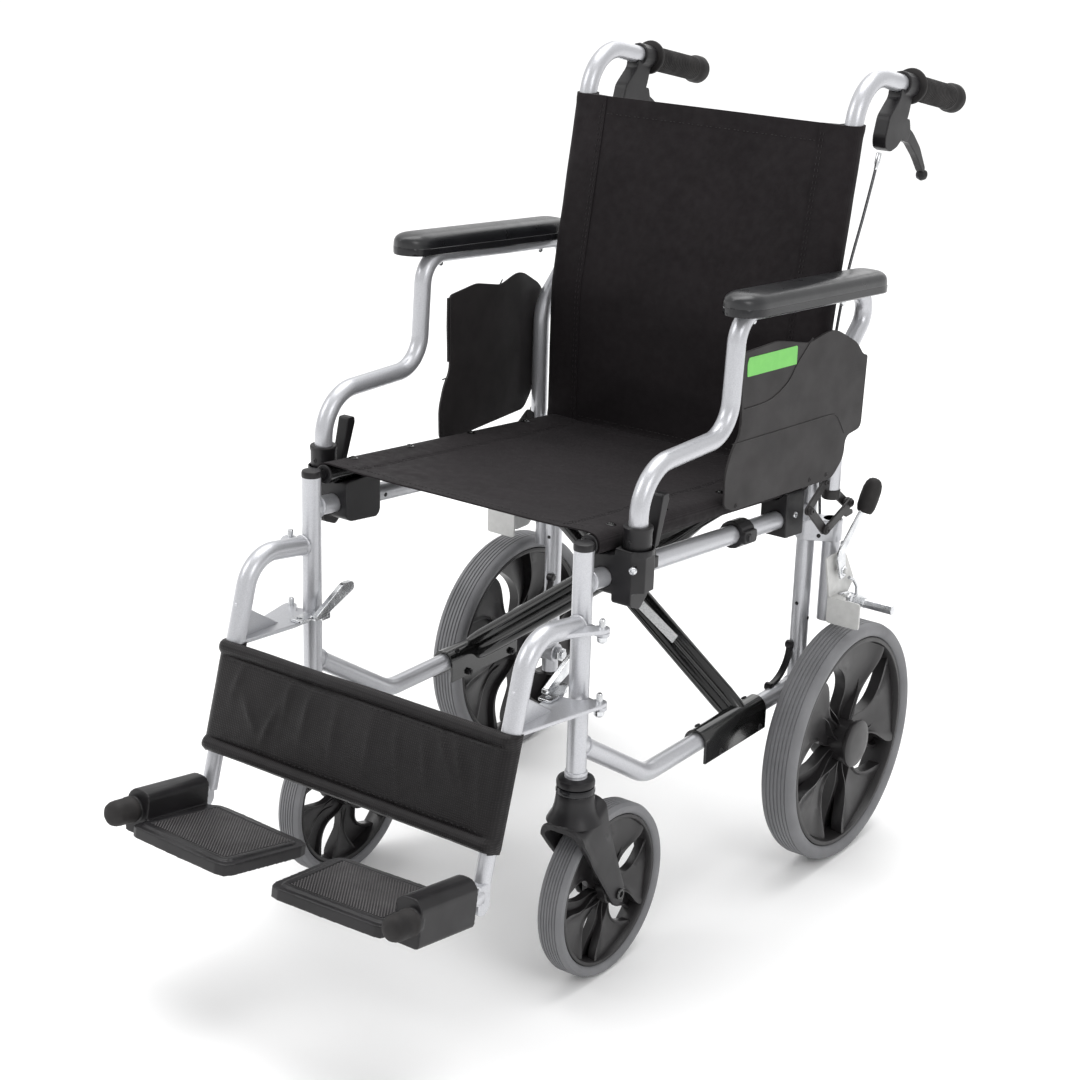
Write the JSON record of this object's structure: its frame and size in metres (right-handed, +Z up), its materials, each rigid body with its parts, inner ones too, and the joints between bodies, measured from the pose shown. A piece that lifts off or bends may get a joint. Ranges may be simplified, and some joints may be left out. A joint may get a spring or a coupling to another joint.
{
  "type": "manual wheelchair",
  "caption": "Folding transit wheelchair with small rear wheels, casters, swing-away footrests, flip-back armrests, sling seat and back, attendant handles and brakes.",
  "frame": {"origin": "on the floor, at the middle of the overall width and length", "axes": "+Z up, the chair faces -Y, +X is the seated user's left"},
  "size_m": [0.5684, 1.1116, 0.9614],
  "materials": {
    "silver_tube": "satin silver paint",
    "bright_steel": "zinc plated",
    "black_paint": "gloss",
    "black_plastic": "fine grain",
    "black_rubber": "matte",
    "black_vinyl": "smooth moulded skin",
    "black_fabric": "woven nylon",
    "grey_tyre": "matte"
  },
  "bodies": {
    "frame_left": {"frame_left": "silver_tube", "front_block_left": "black_plastic", "rail_collar_left": "black_plastic", "rear_saddle_left": "black_plastic", "armrest_hinge_left": "black_plastic", "push_grip_left": "black_rubber", "lever_bracket_left": "black_plastic", "brake_cable_left": "black_rubber", "brake_base_left": "bright_steel", "back_sling": "black_fabric"},
    "frame_right": {"frame_right": "silver_tube", "front_block_right": "black_plastic", "rail_collar_right": "black_plastic", "rear_saddle_right": "black_plastic", "armrest_hinge_right": "black_plastic", "push_grip_right": "black_rubber", "lever_bracket_right": "black_plastic", "brake_cable_right": "black_rubber", "brake_base_right": "bright_steel"},
    "brace_rear": {"brace_rear": "black_paint", "brace_bolt": "bright_steel"},
    "brace_front": {"brace_front": "black_paint", "seat_sling": "black_fabric"},
    "armrest_left": {"armrest_tube_left": "silver_tube", "armrest_sleeve_left": "black_plastic", "side_panel_left": "black_plastic", "arm_pad_left": "black_vinyl", "armrest_link_left": "black_plastic"},
    "armrest_release_left": {"armrest_release_left": "black_plastic"},
    "hanger_left": {"hanger_left": "silver_tube", "calf_pad": "black_fabric"},
    "hanger_latch_left": {"hanger_latch_left": "bright_steel"},
    "footplate_pin_left": {"footplate_bumper_left": "black_rubber"},
    "footplate_left": {"footplate_left": "black_plastic"},
    "brake_lever_left": {"brake_lever_left": "black_plastic"},
    "parking_lever_left": {"parking_lever_left": "bright_steel"},
    "brake_shoe_left": {"brake_shoe_left": "bright_steel"},
    "rear_wheel_left": {"rear_tyre_left": "grey_tyre", "rear_rim_left": "black_plastic"},
    "caster_fork_left": {"caster_fork_left": "black_plastic"},
    "caster_wheel_left": {"caster_tyre_left": "grey_tyre", "caster_rim_left": "black_plastic"},
    "armrest_right": {"armrest_tube_right": "silver_tube", "armrest_sleeve_right": "black_plastic", "side_panel_right": "black_plastic", "arm_pad_right": "black_vinyl", "armrest_link_right": "black_plastic"},
    "armrest_release_right": {"armrest_release_right": "black_plastic"},
    "hanger_right": {"hanger_right": "silver_tube"},
    "hanger_latch_right": {"hanger_latch_right": "bright_steel"},
    "footplate_pin_right": {"footplate_bumper_right": "black_rubber"},
    "footplate_right": {"footplate_right": "black_plastic"},
    "brake_lever_right": {"brake_lever_right": "black_plastic"},
    "parking_lever_right": {"parking_lever_right": "bright_steel"},
    "brake_shoe_right": {"brake_shoe_right": "bright_steel"},
    "rear_wheel_right": {"rear_tyre_right": "grey_tyre", "rear_rim_right": "black_plastic"},
    "caster_fork_right": {"caster_fork_right": "black_plastic"},
    "caster_wheel_right": {"caster_tyre_right": "grey_tyre", "caster_rim_right": "black_plastic"}
  },
  "joints": [
    {"name": "fold", "type": "hinge", "parent": "frame_left", "child": "brace_rear", "pos_m": [0.1895, 0.08773, 0.211], "axis": [0, 1, 0], "range_deg": [0, 41.6], "deforming": ["seat_sling", "back_sling", "calf_pad"]},
    {"name": "scissor", "type": "hinge", "parent": "brace_rear", "child": "brace_front", "pos_m": [0, 0.08773, 0.35307], "axis": [0, 1, 0], "range_deg": [-83.2, 0]},
    {"name": "side_fold", "type": "hinge", "parent": "brace_front", "child": "frame_right", "pos_m": [-0.1895, 0.08773, 0.211], "axis": [0, 1, 0], "range_deg": [0, 41.6]},
    {"name": "rear_wheel_left", "type": "hinge", "parent": "frame_left", "child": "rear_wheel_left", "pos_m": [0.25415, 0.24523, 0.1524], "axis": [1, 0, 0], "continuous": true},
    {"name": "caster_swivel_left", "type": "hinge", "parent": "frame_left", "child": "caster_fork_left", "pos_m": [0.1895, -0.23527, 0.249], "axis": [0, 0, 1], "continuous": true},
    {"name": "caster_wheel_left", "type": "hinge", "parent": "caster_fork_left", "child": "caster_wheel_left", "pos_m": [0.1913, -0.18067, 0.1016], "axis": [1, 0, 0], "continuous": true},
    {"name": "hanger_swing_left", "type": "hinge", "parent": "frame_left", "child": "hanger_left", "pos_m": [0.219, -0.23927, 0.346], "axis": [0, 0, 1], "range_deg": [0, 90]},
    {"name": "hanger_latch_left", "type": "hinge", "parent": "hanger_left", "child": "hanger_latch_left", "pos_m": [0.176, -0.27227, 0.358], "axis": [0, 0, 1], "range_deg": [0, 20], "stiffness_Nm_per_rad": 0.6},
    {"name": "footplate_clear_left", "type": "hinge", "parent": "hanger_left", "child": "footplate_pin_left", "pos_m": [0.195, -0.42027, 0.1915], "axis": [0, 0.9877, -0.1564], "range_deg": [0, 108.16]},
    {"name": "footplate_flip_left", "type": "hinge", "parent": "footplate_pin_left", "child": "footplate_left", "pos_m": [0.195, -0.42027, 0.1915], "axis": [0, 0.9877, -0.1564], "range_deg": [0, 90]},
    {"name": "armrest_flip_left", "type": "hinge", "parent": "frame_left", "child": "armrest_left", "pos_m": [0.2198, 0.27773, 0.449], "axis": [-1, 0, 0], "range_deg": [0, 95]},
    {"name": "armrest_release_left", "type": "hinge", "parent": "frame_left", "child": "armrest_release_left", "pos_m": [0.2195, -0.15327, 0.4905], "axis": [-1, 0, 0], "range_deg": [0, 14], "stiffness_Nm_per_rad": 0.4},
    {"name": "brake_lever_left", "type": "hinge", "parent": "frame_left", "child": "brake_lever_left", "pos_m": [0.1895, 0.40973, 0.881], "axis": [1, 0, 0], "range_deg": [0, 25], "stiffness_Nm_per_rad": 1.2},
    {"name": "parking_lever_left", "type": "hinge", "parent": "frame_left", "child": "parking_lever_left", "pos_m": [0.248, 0.23773, 0.376], "axis": [1, 0, 0], "range_deg": [0, 55]},
    {"name": "brake_shoe_left", "type": "hinge", "parent": "frame_left", "child": "brake_shoe_left", "pos_m": [0.248, 0.24973, 0.338], "axis": [1, 0, 0], "range_deg": [-11, 0]},
    {"name": "rear_wheel_right", "type": "hinge", "parent": "frame_right", "child": "rear_wheel_right", "pos_m": [-0.25415, 0.24523, 0.1524], "axis": [1, 0, 0], "continuous": true},
    {"name": "caster_swivel_right", "type": "hinge", "parent": "frame_right", "child": "caster_fork_right", "pos_m": [-0.1895, -0.23527, 0.249], "axis": [0, 0, 1], "continuous": true},
    {"name": "caster_wheel_right", "type": "hinge", "parent": "caster_fork_right", "child": "caster_wheel_right", "pos_m": [-0.1913, -0.18067, 0.1016], "axis": [1, 0, 0], "continuous": true},
    {"name": "hanger_swing_right", "type": "hinge", "parent": "frame_right", "child": "hanger_right", "pos_m": [-0.219, -0.23927, 0.346], "axis": [0, 0, -1], "range_deg": [0, 90]},
    {"name": "hanger_latch_right", "type": "hinge", "parent": "hanger_right", "child": "hanger_latch_right", "pos_m": [-0.176, -0.27227, 0.358], "axis": [0, 0, -1], "range_deg": [0, 20], "stiffness_Nm_per_rad": 0.6},
    {"name": "footplate_clear_right", "type": "hinge", "parent": "hanger_right", "child": "footplate_pin_right", "pos_m": [-0.195, -0.42027, 0.1915], "axis": [0, -0.9877, 0.1564], "range_deg": [0, 108.16]},
    {"name": "footplate_flip_right", "type": "hinge", "parent": "footplate_pin_right", "child": "footplate_right", "pos_m": [-0.195, -0.42027, 0.1915], "axis": [0, -0.9877, 0.1564], "range_deg": [0, 90]},
    {"name": "armrest_flip_right", "type": "hinge", "parent": "frame_right", "child": "armrest_right", "pos_m": [-0.2198, 0.27773, 0.449], "axis": [-1, 0, 0], "range_deg": [0, 95]},
    {"name": "armrest_release_right", "type": "hinge", "parent": "frame_right", "child": "armrest_release_right", "pos_m": [-0.2195, -0.15327, 0.4905], "axis": [-1, 0, 0], "range_deg": [0, 14], "stiffness_Nm_per_rad": 0.4},
    {"name": "brake_lever_right", "type": "hinge", "parent": "frame_right", "child": "brake_lever_right", "pos_m": [-0.1895, 0.40973, 0.881], "axis": [1, 0, 0], "range_deg": [0, 25], "stiffness_Nm_per_rad": 1.2},
    {"name": "parking_lever_right", "type": "hinge", "parent": "frame_right", "child": "parking_lever_right", "pos_m": [-0.248, 0.23773, 0.376], "axis": [1, 0, 0], "range_deg": [0, 55]},
    {"name": "brake_shoe_right", "type": "hinge", "parent": "frame_right", "child": "brake_shoe_right", "pos_m": [-0.248, 0.24973, 0.338], "axis": [1, 0, 0], "range_deg": [-11, 0]}
  ],
  "couplings": [
    {"joint": "scissor", "follows": "fold", "ratio": -2},
    {"joint": "side_fold", "follows": "fold", "ratio": 1},
    {"joint": "footplate_clear_left", "follows": "fold", "ratio": 2.6},
    {"joint": "brake_shoe_left", "follows": "parking_lever_left", "ratio": -0.2},
    {"joint": "footplate_clear_right", "follows": "fold", "ratio": 2.6},
    {"joint": "brake_shoe_right", "follows": "parking_lever_right", "ratio": -0.2}
  ]
}
